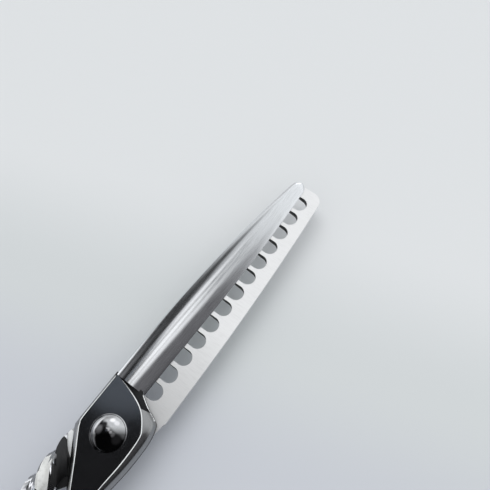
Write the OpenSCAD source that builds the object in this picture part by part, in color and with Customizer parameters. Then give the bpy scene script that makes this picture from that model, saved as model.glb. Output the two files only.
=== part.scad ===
// Thinning shears, lying flat and closed, with the domed pivot head up.
// X runs from the pivot to the blade tips, Z up. The origin is on the pivot axis,
// in the flat back face of the tension dial, which the shears rest on.

/* [Straight blade] */
// From the pivot axis to the tips of both blades
tip_x = 70.2; // [62:0.1:80]
// From the pivot axis to the heel of the straight blade
heel_x = 9.4; // [9:0.1:11]
// From the pivot axis across to the spine of the straight blade
spine_y = 6.95; // [6.7:0.05:7.2]
// How far the spine falls towards the edge by the tip
spine_fall = 4.4; // [3.6:0.1:5]
// Where along the blade the spine starts to fall
spine_bend_x = 17; // [14:0.5:25]
// From the pivot axis across to the cutting edge at the heel
edge_y = 0.5; // [0.3:0.05:0.8]
// Belly of the cutting edge at mid blade
edge_belly = 0.65; // [0.2:0.05:0.9]
// Crown of the convex grind above the ride plane at the heel
crown_heel = 2.45; // [2:0.05:2.8]
// Crown of the convex grind above the ride plane at the tip
crown_tip = 1.25; // [0.9:0.05:1.6]
// Share of the blade's width that the bevel along its spine takes
spine_bevel = 0.07; // [0.04:0.01:0.1]
// Length of the rounded tip of the straight blade
tip_round = 1.8; // [1.2:0.1:2.6]
// Depth of the hollow ground into the inner face
hollow_depth = 0.12; // [0.05:0.01:0.2]

/* [Toothed blade] */
// Number of notches
notch_n = 13; // [9:1:13]
// Distance from one notch to the next
notch_pitch = 4.5; // [4.2:0.05:4.55]
// Width of one notch
notch_w = 3.51; // [3.2:0.01:3.7]
// From the pivot axis to the middle of the first notch
notch_first_x = 11.22; // [10.9:0.02:12]
// From the pivot axis across to the bottom of the deepest notch
notch_root_y = 4.21; // [3.95:0.02:4.45]
// How much shallower the first and last notches are
notch_root_rise = 0.85; // [0.4:0.05:1.1]
// How far the tooth tips pass beyond the blade line, under the straight blade
tooth_tip_y = 1.3; // [1.1:0.05:1.8]
// Width of the small V ground into each tooth tip
tooth_groove_w = 0.5; // [0.3:0.05:0.6]
// From the pivot axis across to the spine of the toothed blade
comb_spine_y = 7.35; // [7.1:0.05:7.7]
// How far that spine comes in by the tip
comb_spine_fall = 2.0; // [1.5:0.1:2.4]
// Thickness of the toothed blade at the heel
comb_t_heel = 2.3; // [2:0.05:2.6]
// Thickness of the toothed blade at the tip
comb_t_tip = 1.75; // [1.4:0.05:2]
// Radius of the outer tip corner of the toothed blade
comb_corner_r = 2.4; // [1.6:0.1:2.8]

/* [Tangs] */
// Thickness of each tang at the pivot
tang_t = 2.9; // [2.7:0.05:3.2]
// Width from the pivot axis to the broad side of the tangs
tang_side_y = 7.15; // [7:0.05:7.4]
// From the pivot axis across to the broad edge of the flat leaf facet
leaf_r = 5.55; // [5.4:0.05:5.8]
// Width of the bevel between the leaf facet and the upright rim
bevel_w = 0.95; // [0.7:0.05:1.2]
// Height of the upright rim under the bevel of a tang
tang_rim_h = 0.8; // [0.5:0.05:1.2]
// Thickness of the scooped neck between tang and blade heel
neck_t = 1.25; // [1:0.05:1.6]
// From the pivot axis back to where a tang is welded to its handle
weld_back = 15; // [14:0.5:18]
// Running gap between a tang and the shank of the other half
tang_gap = 0.3; // [0.25:0.05:0.45]

/* [Shanks] */
// From the line between the grips across to the middle of each shank
shank_y = 3.7; // [3.6:0.05:4]
// How far the whole grip sits towards the straight blade's spine
grip_shift_y = 0.8; // [0.5:0.05:1]
// Corner radius of the twisted four-sided shank
shank_r = 3.0; // [2.6:0.05:3]
// Radius in the hollow middle of each side of the shank
shank_flute_r = 2.3; // [2:0.05:2.5]
// Length of one full turn of the twist
twist_pitch = 20; // [17:0.5:26]
// Where a ridge of the twist reaches the outer side
twist_start = 4.7; // [4:0.1:6]

/* [Finger rings] */
// Inside radius of the finger rings
ring_r = 10.5; // [9.5:0.1:11.5]
// Width of the ring section, across the ring
ring_w = 4.9; // [4.4:0.1:5.4]
// Height of the ring section
ring_h = 6.2; // [5.6:0.1:7]
// From the pivot axis back to the middle of the finger ring
finger_ring_x = 71; // [66:0.5:76]
// From the pivot axis back to the middle of the thumb ring
thumb_ring_x = 66; // [62:0.5:70]
// Gap between the two rings when the shears are closed
ring_gap = 1.6; // [1.4:0.1:2.4]
// Wall of the soft ring inserts
insert_t = 1.1; // [0.8:0.1:1.5]

/* [Finger rest] */
// Length of the finger rest along its curve
rest_len = 21; // [16:0.5:26]
// Radius of the curve of the finger rest
rest_curve_r = 17; // [14:0.5:26]
// Radius of the finger rest at its foot
rest_r = 2.3; // [2:0.1:2.6]
// Radius of the finger rest near its end
rest_end_r = 1.6; // [1.2:0.1:2]
// Radius of the threaded stud that holds the finger rest
stud_r = 1.2; // [1:0.05:1.4]
// Length of the stud in the ring, and again in the rest
stud_len = 3; // [2.4:0.1:3.6]

/* [Bumper] */
// Radius of the rubber bumper's head
bumper_r = 2.2; // [1.8:0.1:2.4]
// Radius of the bumper's stem
bumper_stem_r = 1.0; // [0.8:0.05:1.2]
// Length of the bumper's stem
bumper_stem_len = 3; // [2.4:0.1:3.4]

/* [Pivot] */
// Radius of the pivot bolt's round shank
bolt_r = 1.75; // [1.6:0.05:1.9]
// Across the two flats of the bolt's keyed neck
bolt_key_w = 2.6; // [2.4:0.1:2.9]
// Radius of the bolt's threaded end
bolt_thread_r = 1.5; // [1.35:0.05:1.55]
// Radius of the polished dome head
dome_r = 3.35; // [3.1:0.05:3.5]
// Height of the dome above its rim ring
dome_h = 1.5; // [1:0.05:1.8]
// Radius of the rim ring under the dome
rim_r = 3.6; // [3.5:0.05:3.9]
// Thickness of the rim ring
rim_t = 0.3; // [0.2:0.05:0.4]
// Wall of the bearing bush
bush_t = 0.5; // [0.4:0.05:0.6]
// Diameter of the bearing balls
ball_d = 0.8; // [0.6:0.05:0.8]
// Number of bearing balls
ball_n = 12; // [8:1:12]
// Thickness of the hardened bearing race
race_t = 0.3; // [0.2:0.05:0.35]
// Radius of the glide washer between the tangs
glide_r = 4.6; // [4.2:0.1:5]
// Thickness of the glide washer
glide_t = 0.4; // [0.3:0.05:0.5]

/* [Tension dial] */
// Radius of the tension dial
dial_r = 4.6; // [4.3:0.1:5]
// Height of the tension dial
dial_h = 2.1; // [2:0.1:2.6]
// Number of scallops round the dial
dial_scallops = 16; // [12:1:18]
// Thickness of the closed face of the dial
dial_face_t = 0.5; // [0.4:0.05:0.7]
// Across the flats of the brass nut in the dial
nut_af = 5.0; // [4.6:0.1:5.2]
// Thickness of the click plate
click_t = 0.3; // [0.25:0.05:0.4]
// Height of the dished spring washer
spring_h = 0.7; // [0.5:0.05:0.9]
// Thickness of the spring washer's steel
spring_t = 0.3; // [0.2:0.05:0.35]

/* [Hidden] */
fit_gap = 0.05;
hair_gap = 0.02;
$fn = 64;

steel = "#c9cbce";
polished = "#8d9196";
satin = "#e3e5e6";
bronze = "#b08d57";
black_rubber = "#26272a";

// Heights of the stack, from the back of the dial up
spring_z = dial_h + click_t;
tang_low_z = spring_z + spring_h;
seam_z = tang_low_z + tang_t;
tang_top_z = seam_z + tang_t;
bush_r = bolt_r + fit_gap + bush_t;
seat_r = rim_r - 0.3;
head_boss_r = seat_r - 0.15;
head_low_z = tang_top_z - 0.3;
ball_z = head_low_z - hair_gap - ball_d / 2;
race_z = ball_z - ball_d / 2 - hair_gap - race_t;
ball_ring_r = (bolt_r + seat_r) / 2;
shank_start_x = -3.8;
// Where the far side of the straight half's shank starts, clear of the other tang
front_far_x = -7.5;
// Radius that each stub keeps clear for the other half's tang as the shears open
front_sweep_r = 8.75;
back_sweep_r = 8.6;
twist_deg = 360 / twist_pitch;

ring_mid_r = ring_r + ring_w / 2;
ring_out_r = ring_r + ring_w;
ring_y = ring_out_r + ring_gap / 2;
join_angle = 35;
drop = seam_z - ring_h / 2;
// The toothed blade ends a little short of the straight one
comb_tip_x = tip_x - 0.4;

function ease(t) = let (u = max(0, min(1, t))) u * u * (3 - 2 * u);

// Curve through a few points, with n short steps between one and the next
function through(p, n = 4) = [
    for (i = [0 : len(p) - 2], k = [0 : n - 1])
        let (a = p[max(i - 1, 0)], b = p[i], c = p[i + 1], d = p[min(i + 2, len(p) - 1)], t = k / n)
            0.5 * (2 * b + (c - a) * t + (2 * a - 5 * b + 4 * c - d) * t * t
                + (3 * b - a - 3 * c + d) * t * t * t),
    p[len(p) - 1]];

// Closed skin over a row of sections that all have as many points
module skin(rows) {
    n = len(rows[0]);
    last = len(rows) - 1;
    sides = [for (j = [0 : last - 1], i = [0 : n - 1])
        let (a = j * n + i, b = j * n + (i + 1) % n) each [[a, a + n, b], [b, a + n, b + n]]];
    polyhedron(
        points = [for (row = rows) each row],
        faces = concat(sides, [[for (i = [0 : n - 1]) i]], [[for (i = [n - 1 : -1 : 0]) last * n + i]]));
}

// ---- outlines of the blades -------------------------------------------------

function blade_t(x) = (x - heel_x) / (tip_x - heel_x);
function spine(x) = spine_y
    - spine_fall * pow(max(0, x - spine_bend_x) / (tip_x - spine_bend_x), 2);
function edge(x) = -edge_y - edge_belly * sin(180 * pow(max(0, blade_t(x)), 1.25));
function comb_spine(x) = -comb_spine_y
    + comb_spine_fall * pow(max(0, x - spine_bend_x) / (tip_x - spine_bend_x), 2);
notch_r = notch_w / 2;
notch_mid_x = notch_first_x + notch_pitch * (notch_n - 1) / 2;
function notch_y(x) = -notch_root_y + notch_r
    + notch_root_rise * pow((x - notch_mid_x) / (notch_mid_x - notch_first_x), 2);

// Height of the convex grind: u is 0 at the cutting edge and 1 at the spine
grind_steps = [0, 0.09, 0.19, 0.3, 0.42, 0.54, 0.65, 0.75, 0.84, 1 - spine_bevel, 1];
function grind(u) = u < 0.6
    ? 1 - 0.92 * pow((0.6 - u) / 0.6, 2)
    : (u < 0.99 ? 1 - 0.5 * pow((u - 0.6) / 0.4, 2) : 0.3);

function straight_section(x) =
    let (
        into_tip = max(0, x - (tip_x - tip_round)) / tip_round,
        full = sqrt(max(0.02, 1 - into_tip * into_tip)),
        low = edge(x),
        high = spine(x),
        mid = low + 0.42 * (high - low),
        y0 = mid + (low - mid) * full,
        y1 = mid + (high - mid) * full,
        crown = (crown_heel + (crown_tip - crown_heel) * blade_t(x)) * (0.45 + 0.55 * full))
    concat(
        [for (i = [len(grind_steps) - 1 : -1 : 0]) let (u = grind_steps[i])
            [x, y0 + (y1 - y0) * u, seam_z + crown * grind(u)]],
        [[x, y0, seam_z],
        [x, y0 + (y1 - y0) * 0.3, seam_z + hollow_depth * full],
        [x, y0 + (y1 - y0) * 0.75, seam_z + hollow_depth * full],
        [x, y1, seam_z]]);

blade_steps = 26;
straight_stations = concat(
    [for (i = [0 : blade_steps]) heel_x + (tip_x - tip_round - heel_x) * i / blade_steps],
    [for (a = [25, 45, 62, 76, 86]) tip_x - tip_round + tip_round * sin(a)]);

// ---- tangs ----------------------------------------------------------------------

// Edge of the flat leaf facet on the broad side, from the heel round to the shank
leaf_broad = through([[heel_x, spine_y - bevel_w - 0.1], [heel_x - 0.95, 1.8], [6.9, -2.1],
    [4.4, -leaf_r + 0.95], [2.4, -leaf_r + 0.1], [-2.8, -leaf_r], [-8.1, -leaf_r + 0.4],
    [-weld_back, -leaf_r + 0.6]]);
// Edge of the leaf facet on the ridge side, from the shank forward to the heel
leaf_ridge = through([[-weld_back, -3.4], [-11.3, -0.9], [-6.8, 2.2], [-3.2, 4.8],
    [-1.8, spine_y - bevel_w - 0.35], [-0.2, spine_y - bevel_w], [heel_x, spine_y - bevel_w]]);
// Foot of the bevel, at the ride plane
foot_broad = [[heel_x, spine_y], [heel_x - 0.5, 3.2], [8.25, -1.9], [7, -5.4],
    [5.8, -6.5], [2.6, -tang_side_y], [-3, -tang_side_y + 0.1], [-8.5, -6.4],
    [-weld_back, -5.5]];
foot_ridge = [[-weld_back, -2], [-12, 0.1], [-7.5, 3.2], [-3.4, 6.5], [-2.5, spine_y]];
// Plate of the scooped neck, which joins the tang to the blade
neck_plate = [[heel_x + 0.9, spine_y - 0.05], [heel_x + 0.9, 0], [heel_x, -edge_y], [8.85, -1.4],
    [7.8, -3.4], [7, -5.4], [4, -4], [2, spine_y - 0.05]];
// Scoop between the leaf facet and the heel of the blade, down to the neck plate
scoop_gap = 0.06;
scoop_low_y = -4.3;
scoop_reach = heel_x + 3;
scoop = concat([for (i = [0 : 8]) leaf_broad[i] + [scoop_gap, 0]],
    [[7.6, scoop_low_y], [scoop_reach, scoop_low_y], [scoop_reach, spine_y - bevel_w]]);

// Foot of the toothed half's tang: the same at the front, but its shank goes the other way
comb_foot = [[heel_x + 1, 1.9], [heel_x + 1, -comb_spine_y], [7.4, -comb_spine_y + 0.1],
    [2.25, -tang_side_y], [-1, -tang_side_y + 0.2], [-3.6, -5.4], [-8, -2], [-12, 1.2],
    [-weld_back, 2.9], [-weld_back, 6.6], [-8.7, 6.8], [-4.7, 6.9], [4, spine_y - 0.1],
    [8, 6.2]];
// Flat facet on the back of the toothed half
comb_facet = [[8.8, 0.4], [8.4, -5.8], [5.5, -5.4], [2, -5.9], [-1.7, -5.2], [-5.4, -2.4],
    [-9.1, 0.4], [-weld_back, 4.6], [-weld_back, 5.5], [-8.5, 5.6], [-4, 5.8], [3, 5.7],
    [7, 4.9]];

module slab(outline, z0, z1) {
    translate([0, 0, z0]) linear_extrude(z1 - z0) polygon(outline);
}

module front_tang() {
    difference() {
        hull() {
            slab(concat(foot_broad, foot_ridge), seam_z, seam_z + tang_rim_h);
            slab(concat(leaf_broad, leaf_ridge), tang_top_z - 0.1, tang_top_z);
        }
        slab(scoop, seam_z + neck_t, tang_top_z + 1);
    }
    slab(neck_plate, seam_z, seam_z + neck_t);
}

module back_tang() {
    hull() {
        slab(comb_foot, seam_z - tang_rim_h, seam_z);
        slab(comb_facet, tang_low_z, tang_low_z + 0.1);
    }
}

// ---- twisted shanks --------------------------------------------------------------
// Both halves use one form. side is 1 for the straight half, whose tang is above the
// ride plane and whose shank lies at -Y, and -1 for the toothed half.

function join_x(ring_x) = -ring_x + ring_mid_r * cos(join_angle);
function bar_y(x, ring_x) = shank_y + (ring_y - ring_mid_r * sin(join_angle) - shank_y)
    * pow(max(0, -12 - x) / (-12 - join_x(ring_x)), 2);
function grip_y(side, y) = grip_shift_y - side * y;
function bar_z(x, ring_x) = seam_z - drop * ease((-18 - x) / (-18 - join_x(ring_x)));

// How far the shank stands out on the side of its own tang, and on the other side
function own_rise(x) = min(1, (tang_t - 0.12) / shank_r
    + (1 - (tang_t - 0.12) / shank_r) * ease((-12 - x) / 5));
function far_rise(x, start) = 0.15 + 0.85 * ease((start - x) / 5);

function bar_section(x, side, ring_x, start) = [
    for (k = [0 : 3], s = [[-7, shank_r], [7, shank_r], [31, shank_flute_r], [59, shank_flute_r]])
        let (
            a = 90 * k + s[0] - twist_deg * (x + twist_start),
            y = s[1] * cos(a),
            z = s[1] * sin(a),
            rise = z * side > 0 ? own_rise(x) : far_rise(x, start))
        [x, grip_y(side, bar_y(x, ring_x)) + y, bar_z(x, ring_x) + z * rise]];

// Length of one step of a shank's loft, in the stubs and in the grips
stub_step = 1.25;
grip_step = 1.5;

module bar(x0, x1, side, ring_x, start, step) {
    n = ceil((x0 - x1) / step);
    skin([for (i = [0 : n]) bar_section(x1 + (x0 - x1) * i / n, side, ring_x, start)]);
}

// Short length of shank forged in one with each tang
module front_stub() {
    intersection() {
        difference() {
            bar(shank_start_x, -weld_back, 1, thumb_ring_x, front_far_x, stub_step);
            // room for the toothed half's tang, which sweeps past as the shears open
            translate([0, 0, -1]) cylinder(r = front_sweep_r, h = seam_z + 1);
            translate([0, 0, tang_low_z - 1]) linear_extrude(tang_t + 1)
                offset(delta = tang_gap) hull() polygon(comb_foot);
        }
        translate([-weld_back, -20, 0]) cube([20, 40, 20]);
    }
}

module back_stub() {
    intersection() {
        difference() {
            bar(shank_start_x, -weld_back, -1, finger_ring_x, shank_start_x, stub_step);
            translate([0, 0, seam_z]) cylinder(r = back_sweep_r, h = 10);
            translate([0, 0, seam_z]) linear_extrude(10)
                offset(delta = tang_gap) hull() polygon(concat(foot_broad, foot_ridge));
        }
        translate([-weld_back, -20, 0]) cube([20, 40, 20]);
    }
}

// ---- blades ----------------------------------------------------------------------

module straight_blade() {
    color(polished) difference() {
        union() {
            skin([for (x = straight_stations) straight_section(x)]);
            front_tang();
            front_stub();
        }
        translate([0, 0, seam_z - 1]) cylinder(r = bush_r, h = tang_t + 2);
        translate([0, 0, race_z]) cylinder(r = seat_r, h = tang_t);
    }
}

function comb_section(x) =
    let (
        into_tip = max(0, x - (comb_tip_x - comb_corner_r)) / comb_corner_r,
        full = 1 - sqrt(max(0, 1 - into_tip * into_tip)),
        y0 = comb_spine(x) + comb_corner_r * full,
        t = comb_t_heel + (comb_t_tip - comb_t_heel) * blade_t(x),
        w = tooth_tip_y - y0)
    [[x, tooth_tip_y, seam_z], [x, y0, seam_z],
        [x, y0 + 0.1, seam_z - t * 0.55], [x, y0 + 0.5, seam_z - t * 0.85],
        [x, y0 + w * 0.28, seam_z - t], [x, y0 + w * 0.5, seam_z - t * 0.95],
        [x, y0 + w * 0.75, seam_z - t * 0.72], [x, tooth_tip_y, seam_z - t * 0.35]];

comb_start_x = 7.4;
comb_steps = 18;
comb_stations = concat(
    [for (i = [0 : comb_steps])
        comb_start_x + (comb_tip_x - comb_corner_r - comb_start_x) * i / comb_steps],
    [for (a = [20, 40, 60, 75, 90]) comb_tip_x - comb_corner_r + comb_corner_r * sin(a)]);

module toothed_blade() {
    color(satin) difference() {
        union() {
            skin([for (x = comb_stations) comb_section(x)]);
            back_tang();
            back_stub();
        }
        for (i = [0 : notch_n - 1]) notch(notch_first_x + i * notch_pitch);
        for (i = [0 : notch_n - 2]) tooth_groove(notch_first_x + (i + 0.5) * notch_pitch);
        keyed_hole();
        translate([0, 0, seam_z - glide_t]) cylinder(r = glide_r + fit_gap, h = glide_t + 1);
    }
}

// One U-shaped notch, open towards the straight blade
module notch(x) {
    translate([x, notch_y(x), seam_z - 5]) {
        cylinder(r = notch_r, h = 6);
        translate([-notch_r, 0, 0]) cube([notch_r * 2, 10, 6]);
    }
}

module tooth_groove(x) {
    translate([x, tooth_tip_y, seam_z - 5]) rotate([0, 0, 45])
        translate([-tooth_groove_w / 2, -tooth_groove_w / 2, 0])
            cube([tooth_groove_w, tooth_groove_w, 6]);
}

module keyed_hole() {
    intersection() {
        translate([0, 0, tang_low_z - 1]) cylinder(r = bolt_r + fit_gap, h = tang_t + 2);
        translate([-bolt_key_w / 2 - fit_gap, -5, tang_low_z - 1])
            cube([bolt_key_w + 2 * fit_gap, 10, tang_t + 2]);
    }
}

// ---- handles ---------------------------------------------------------------------

// Section of a ring: an oval with its flat sides to the finger and the outside
function oval(w, h, n) = [for (i = [0 : n - 1])
    let (a = 360 * (i + 0.5) / n) [w * sign(cos(a)) * pow(abs(cos(a)), 0.75),
        h * sign(sin(a)) * pow(abs(sin(a)), 0.75)]];

module ring() {
    rotate_extrude() translate([ring_mid_r, ring_h / 2])
        polygon(oval(ring_w / 2, ring_h / 2, 20));
}

module handle(side, ring_x) {
    x_end = join_x(ring_x);
    fork_x = x_end + 9;
    bar(-weld_back, x_end, side, ring_x, front_far_x, grip_step);
    translate([-ring_x, grip_y(side, ring_y), 0]) ring();
    for (a = [-27, 27]) hull() {
        translate([fork_x, grip_y(side, bar_y(fork_x, ring_x)), bar_z(fork_x, ring_x)])
            sphere(r = shank_flute_r, $fn = 20);
        translate([-ring_x, grip_y(side, ring_y), ring_h / 2])
            rotate([0, 0, side * (join_angle + a)]) translate([ring_mid_r, 0, 0])
                scale([1, 1, 1.1]) sphere(r = ring_w / 2 - 0.15, $fn = 20);
    }
}

rest_angle = 150;
rest_boss_r = rest_r + 0.3;
rest_boss_len = 1.2;

module at_rest_stud() {
    translate([-finger_ring_x, grip_y(-1, ring_y), ring_h / 2]) rotate([0, 0, rest_angle])
        translate([ring_out_r + rest_boss_len, 0, 0]) children();
}

module finger_handle() {
    color(steel) difference() {
        union() {
            handle(-1, finger_ring_x);
            at_rest_stud() translate([-rest_boss_len - 1.5, 0, 0]) rotate([0, 90, 0])
                cylinder(r1 = ring_h / 2 - 0.2, r2 = rest_boss_r, h = rest_boss_len + 1.5);
        }
        at_rest_stud() translate([-stud_len, 0, 0]) rotate([0, 90, 0])
            cylinder(r = stud_r, h = stud_len + 1);
        insert_seat(finger_ring_x, grip_y(-1, ring_y));
    }
}

bumper_x = -(finger_ring_x + thumb_ring_x) / 2;
bumper_seat_y = grip_y(1, ring_gap / 2) + 0.2;
bumper_head_y = grip_y(-1, ring_gap / 2);

module thumb_handle() {
    color(steel) difference() {
        union() {
            handle(1, thumb_ring_x);
            translate([bumper_x, bumper_seat_y, ring_h / 2]) rotate([90, 0, 0])
                cylinder(r = bumper_r + 0.2, h = 3);
        }
        translate([bumper_x, bumper_seat_y + 1, ring_h / 2]) rotate([90, 0, 0])
            cylinder(r = bumper_stem_r, h = bumper_stem_len + 1);
        insert_seat(thumb_ring_x, grip_y(1, ring_y));
    }
}

module bumper() {
    color(black_rubber) translate([bumper_x, bumper_head_y, ring_h / 2]) rotate([90, 0, 0])
        rotate_extrude() polygon([[0, 0], [bumper_r - 0.4, 0], [bumper_r, 0.4],
            [bumper_r, bumper_head_y - bumper_seat_y], [bumper_stem_r, bumper_head_y - bumper_seat_y],
            [bumper_stem_r, bumper_head_y - bumper_seat_y + bumper_stem_len],
            [0, bumper_head_y - bumper_seat_y + bumper_stem_len]]);
}

// True cylindrical seat inside a ring, which the soft insert is pushed into
module insert_seat(ring_x, y) {
    translate([-ring_x, y, -1]) cylinder(r = ring_r + 0.05, h = ring_h + 2);
}

module insert() {
    in_r = ring_r - insert_t;
    lip_z = ring_h * 0.36;
    translate([0, 0, ring_h / 2]) rotate_extrude() polygon([
        [in_r + 0.35, -lip_z], [in_r, -lip_z + 0.8], [in_r, lip_z - 0.8], [in_r + 0.35, lip_z],
        [ring_r, lip_z], [ring_r, -lip_z]]);
}

module finger_ring_insert() {
    color(black_rubber) translate([-finger_ring_x, grip_y(-1, ring_y), 0]) insert();
}

module thumb_ring_insert() {
    color(black_rubber) translate([-thumb_ring_x, grip_y(1, ring_y), 0]) insert();
}

// ---- finger rest -----------------------------------------------------------------

rest_steps = 12;
rest_sides = 14;
function rest_radius(t) = (rest_r + (rest_end_r - rest_r) * t)
    * (t < 0.9 ? 1 : sqrt(max(0.04, 1 - pow((t - 0.9) / 0.1, 2))));
function rest_row(t) =
    let (
        turn = rest_len * t / rest_curve_r * 180 / PI,
        r = rest_radius(t),
        wide = 1 + 0.35 * ease((t - 0.25) / 0.5))
    [for (k = [0 : rest_sides - 1]) let (a = 360 * k / rest_sides, side = r * cos(a), up = r * wide * sin(a))
        [rest_curve_r * sin(turn) + side * sin(turn),
            -rest_curve_r * (1 - cos(turn)) + side * cos(turn), up]];

module finger_rest() {
    color(steel) at_rest_stud() difference() {
        skin([for (t = [for (i = [0 : rest_steps - 1]) i / rest_steps * 0.98, 0.96, 0.985, 1])
            rest_row(t)]);
        rotate([0, 90, 0]) cylinder(r = stud_r, h = stud_len * 2, center = true);
    }
}

module finger_rest_stud() {
    color(steel) at_rest_stud() rotate([0, 90, 0])
        cylinder(r = stud_r, h = stud_len * 2, center = true);
}

// ---- pivot -----------------------------------------------------------------------

bolt_end_z = dial_face_t + 0.2;

module pivot_bolt() {
    color(polished) {
        translate([0, 0, bolt_end_z]) cylinder(r = bolt_thread_r, h = tang_low_z - bolt_end_z);
        intersection() {
            translate([0, 0, tang_low_z]) cylinder(r = bolt_r, h = tang_t);
            translate([-bolt_key_w / 2, -5, tang_low_z]) cube([bolt_key_w, 10, tang_t]);
        }
        translate([0, 0, seam_z]) cylinder(r = bolt_r, h = head_low_z - seam_z);
        translate([0, 0, head_low_z]) cylinder(r = head_boss_r, h = tang_top_z + rim_t - head_low_z);
        dome();
    }
}

module dome() {
    cap_r = (dome_r * dome_r + dome_h * dome_h) / (2 * dome_h);
    translate([0, 0, tang_top_z + rim_t]) intersection() {
        translate([0, 0, dome_h - cap_r]) sphere(r = cap_r);
        cylinder(r = dome_r, h = dome_h + 1);
    }
}

module head_rim_ring() {
    color(steel) translate([0, 0, tang_top_z]) rotate_extrude() polygon([
        [head_boss_r + hair_gap, 0], [rim_r, 0], [rim_r, rim_t * 0.5],
        [rim_r - rim_t * 0.5, rim_t], [head_boss_r + hair_gap, rim_t]]);
}

module pivot_bush() {
    color(bronze) translate([0, 0, seam_z]) difference() {
        cylinder(r = bush_r, h = race_z - seam_z);
        translate([0, 0, -1]) cylinder(r = bolt_r + fit_gap, h = tang_t + 2);
    }
}

module bearing_race() {
    color(steel) translate([0, 0, race_z]) difference() {
        cylinder(r = seat_r, h = race_t);
        translate([0, 0, -1]) cylinder(r = bolt_r + 0.15, h = race_t + 2);
    }
}

function ball_angle(i) = 360 * i / ball_n;

module ball_cage() {
    color(bronze) translate([0, 0, ball_z - ball_d * 0.3]) difference() {
        cylinder(r = seat_r - 0.15, h = ball_d * 0.6);
        translate([0, 0, -1]) cylinder(r = bolt_r + 0.15, h = 3);
        for (i = [0 : ball_n - 1]) rotate([0, 0, ball_angle(i)])
            translate([ball_ring_r, 0, -1]) cylinder(r = ball_d / 2 + fit_gap, h = 3, $fn = 24);
    }
}

module bearing_balls() {
    color("silver") for (i = [0 : ball_n - 1]) rotate([0, 0, ball_angle(i)])
        translate([ball_ring_r, 0, ball_z]) sphere(r = ball_d / 2);
}

module glide_washer() {
    color("white") translate([0, 0, seam_z - glide_t]) difference() {
        cylinder(r = glide_r, h = glide_t);
        translate([0, 0, -1]) cylinder(r = bolt_r + 0.1, h = glide_t + 2);
    }
}

// Dished washer: its rim bears on the tang and its inner edge on the click plate
module spring_washer() {
    inner = bolt_thread_r + 0.15;
    outer = dial_r - 0.7;
    color("steelblue") translate([0, 0, spring_z]) rotate_extrude() polygon([
        [inner, 0], [inner + 0.4, 0], [outer, spring_h - spring_t], [outer, spring_h],
        [outer - 0.4, spring_h], [inner, spring_t]]);
}

module click_plate() {
    color(steel) translate([0, 0, dial_h]) difference() {
        cylinder(r = dial_r - 0.4, h = click_t);
        translate([0, 0, -1]) cylinder(r = bolt_thread_r + 0.1, h = 3);
        for (i = [0 : 7]) rotate([0, 0, 45 * i]) translate([dial_r - 1.2, 0, -1])
            cylinder(r = 0.3, h = 3, $fn = 24);
    }
}

module tension_dial() {
    color(polished) difference() {
        rotate_extrude() polygon([[0, 0], [dial_r - 0.4, 0], [dial_r, 0.4],
            [dial_r, dial_h - 0.2], [dial_r - 0.2, dial_h], [0, dial_h]]);
        for (i = [0 : dial_scallops - 1]) rotate([0, 0, 360 * (i + 0.5) / dial_scallops])
            translate([dial_r + 0.35, 0, -1]) cylinder(r = 0.6, h = dial_h + 2, $fn = 24);
        translate([0, 0, dial_face_t]) cylinder(r = nut_af / sqrt(3) + 0.02, h = dial_h, $fn = 6);
    }
}

module dial_nut() {
    color(bronze) translate([0, 0, dial_face_t]) difference() {
        cylinder(r = nut_af / sqrt(3), h = dial_h - dial_face_t, $fn = 6);
        translate([0, 0, -1]) cylinder(r = bolt_thread_r + fit_gap, h = dial_h + 2);
    }
}

toothed_blade();
finger_handle();
straight_blade();
thumb_handle();
pivot_bolt();
head_rim_ring();
pivot_bush();
bearing_race();
ball_cage();
bearing_balls();
glide_washer();
spring_washer();
click_plate();
tension_dial();
dial_nut();
finger_rest();
finger_rest_stud();
bumper();
finger_ring_insert();
thumb_ring_insert();
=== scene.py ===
# %% [markdown]
# # Thinning shears, closed and lying on a pale table
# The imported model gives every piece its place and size. This script dresses it: the two
# polished halves, the handles and the finger rest are made again as fine meshes from the
# same few dimensions, so that a mirror finish has smooth curves to reflect in. The small
# pieces keep their solids and get a finish. Lengths are in millimetres until a mesh is made.

# %% Load the frame
import bpy
import bmesh
import math
import numpy as np
from mathutils import Matrix, Vector


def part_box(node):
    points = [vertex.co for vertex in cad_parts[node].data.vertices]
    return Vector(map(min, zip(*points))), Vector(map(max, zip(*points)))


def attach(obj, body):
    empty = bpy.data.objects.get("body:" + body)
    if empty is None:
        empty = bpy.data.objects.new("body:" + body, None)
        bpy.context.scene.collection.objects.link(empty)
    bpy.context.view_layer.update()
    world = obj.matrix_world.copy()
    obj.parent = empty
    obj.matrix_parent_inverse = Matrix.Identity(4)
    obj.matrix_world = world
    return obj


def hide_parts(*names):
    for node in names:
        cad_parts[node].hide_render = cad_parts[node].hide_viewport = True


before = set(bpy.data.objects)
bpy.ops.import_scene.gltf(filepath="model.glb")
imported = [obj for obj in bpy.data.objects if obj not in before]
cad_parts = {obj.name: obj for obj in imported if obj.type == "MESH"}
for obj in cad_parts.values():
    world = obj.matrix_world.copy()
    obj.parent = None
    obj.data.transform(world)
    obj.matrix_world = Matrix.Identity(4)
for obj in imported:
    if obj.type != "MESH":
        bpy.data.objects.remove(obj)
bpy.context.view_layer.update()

MM = 0.001


def node_box(name):
    """Lowest and highest corner of a solid, in millimetres."""
    low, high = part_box(name)
    return np.array(low) / MM, np.array(high) / MM


def add_object(name, data):
    made = bpy.data.objects.new(name, data)
    bpy.context.scene.collection.objects.link(made)
    return made


# %% [markdown]
# ## The camera
# The even row of notches in the photograph fixes the camera: equal steps along the blade
# look shorter the farther away they are, and how fast they shrink gives the lens, the
# height and the tilt. The camera stands about 115 mm over the table and looks down with
# its axis 25 degrees from the vertical.

# %% Place the camera
seam_z = node_box("glide_washer")[1][2]
camera_place = np.array([6.91, -27.32, seam_z + 108.85])
camera_right = Vector((0.5823, -0.8130, 0.0)).normalized()
camera_up = Vector((0.7348, 0.5263, 0.4279)).normalized()
camera_back = camera_right.cross(camera_up)

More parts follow.
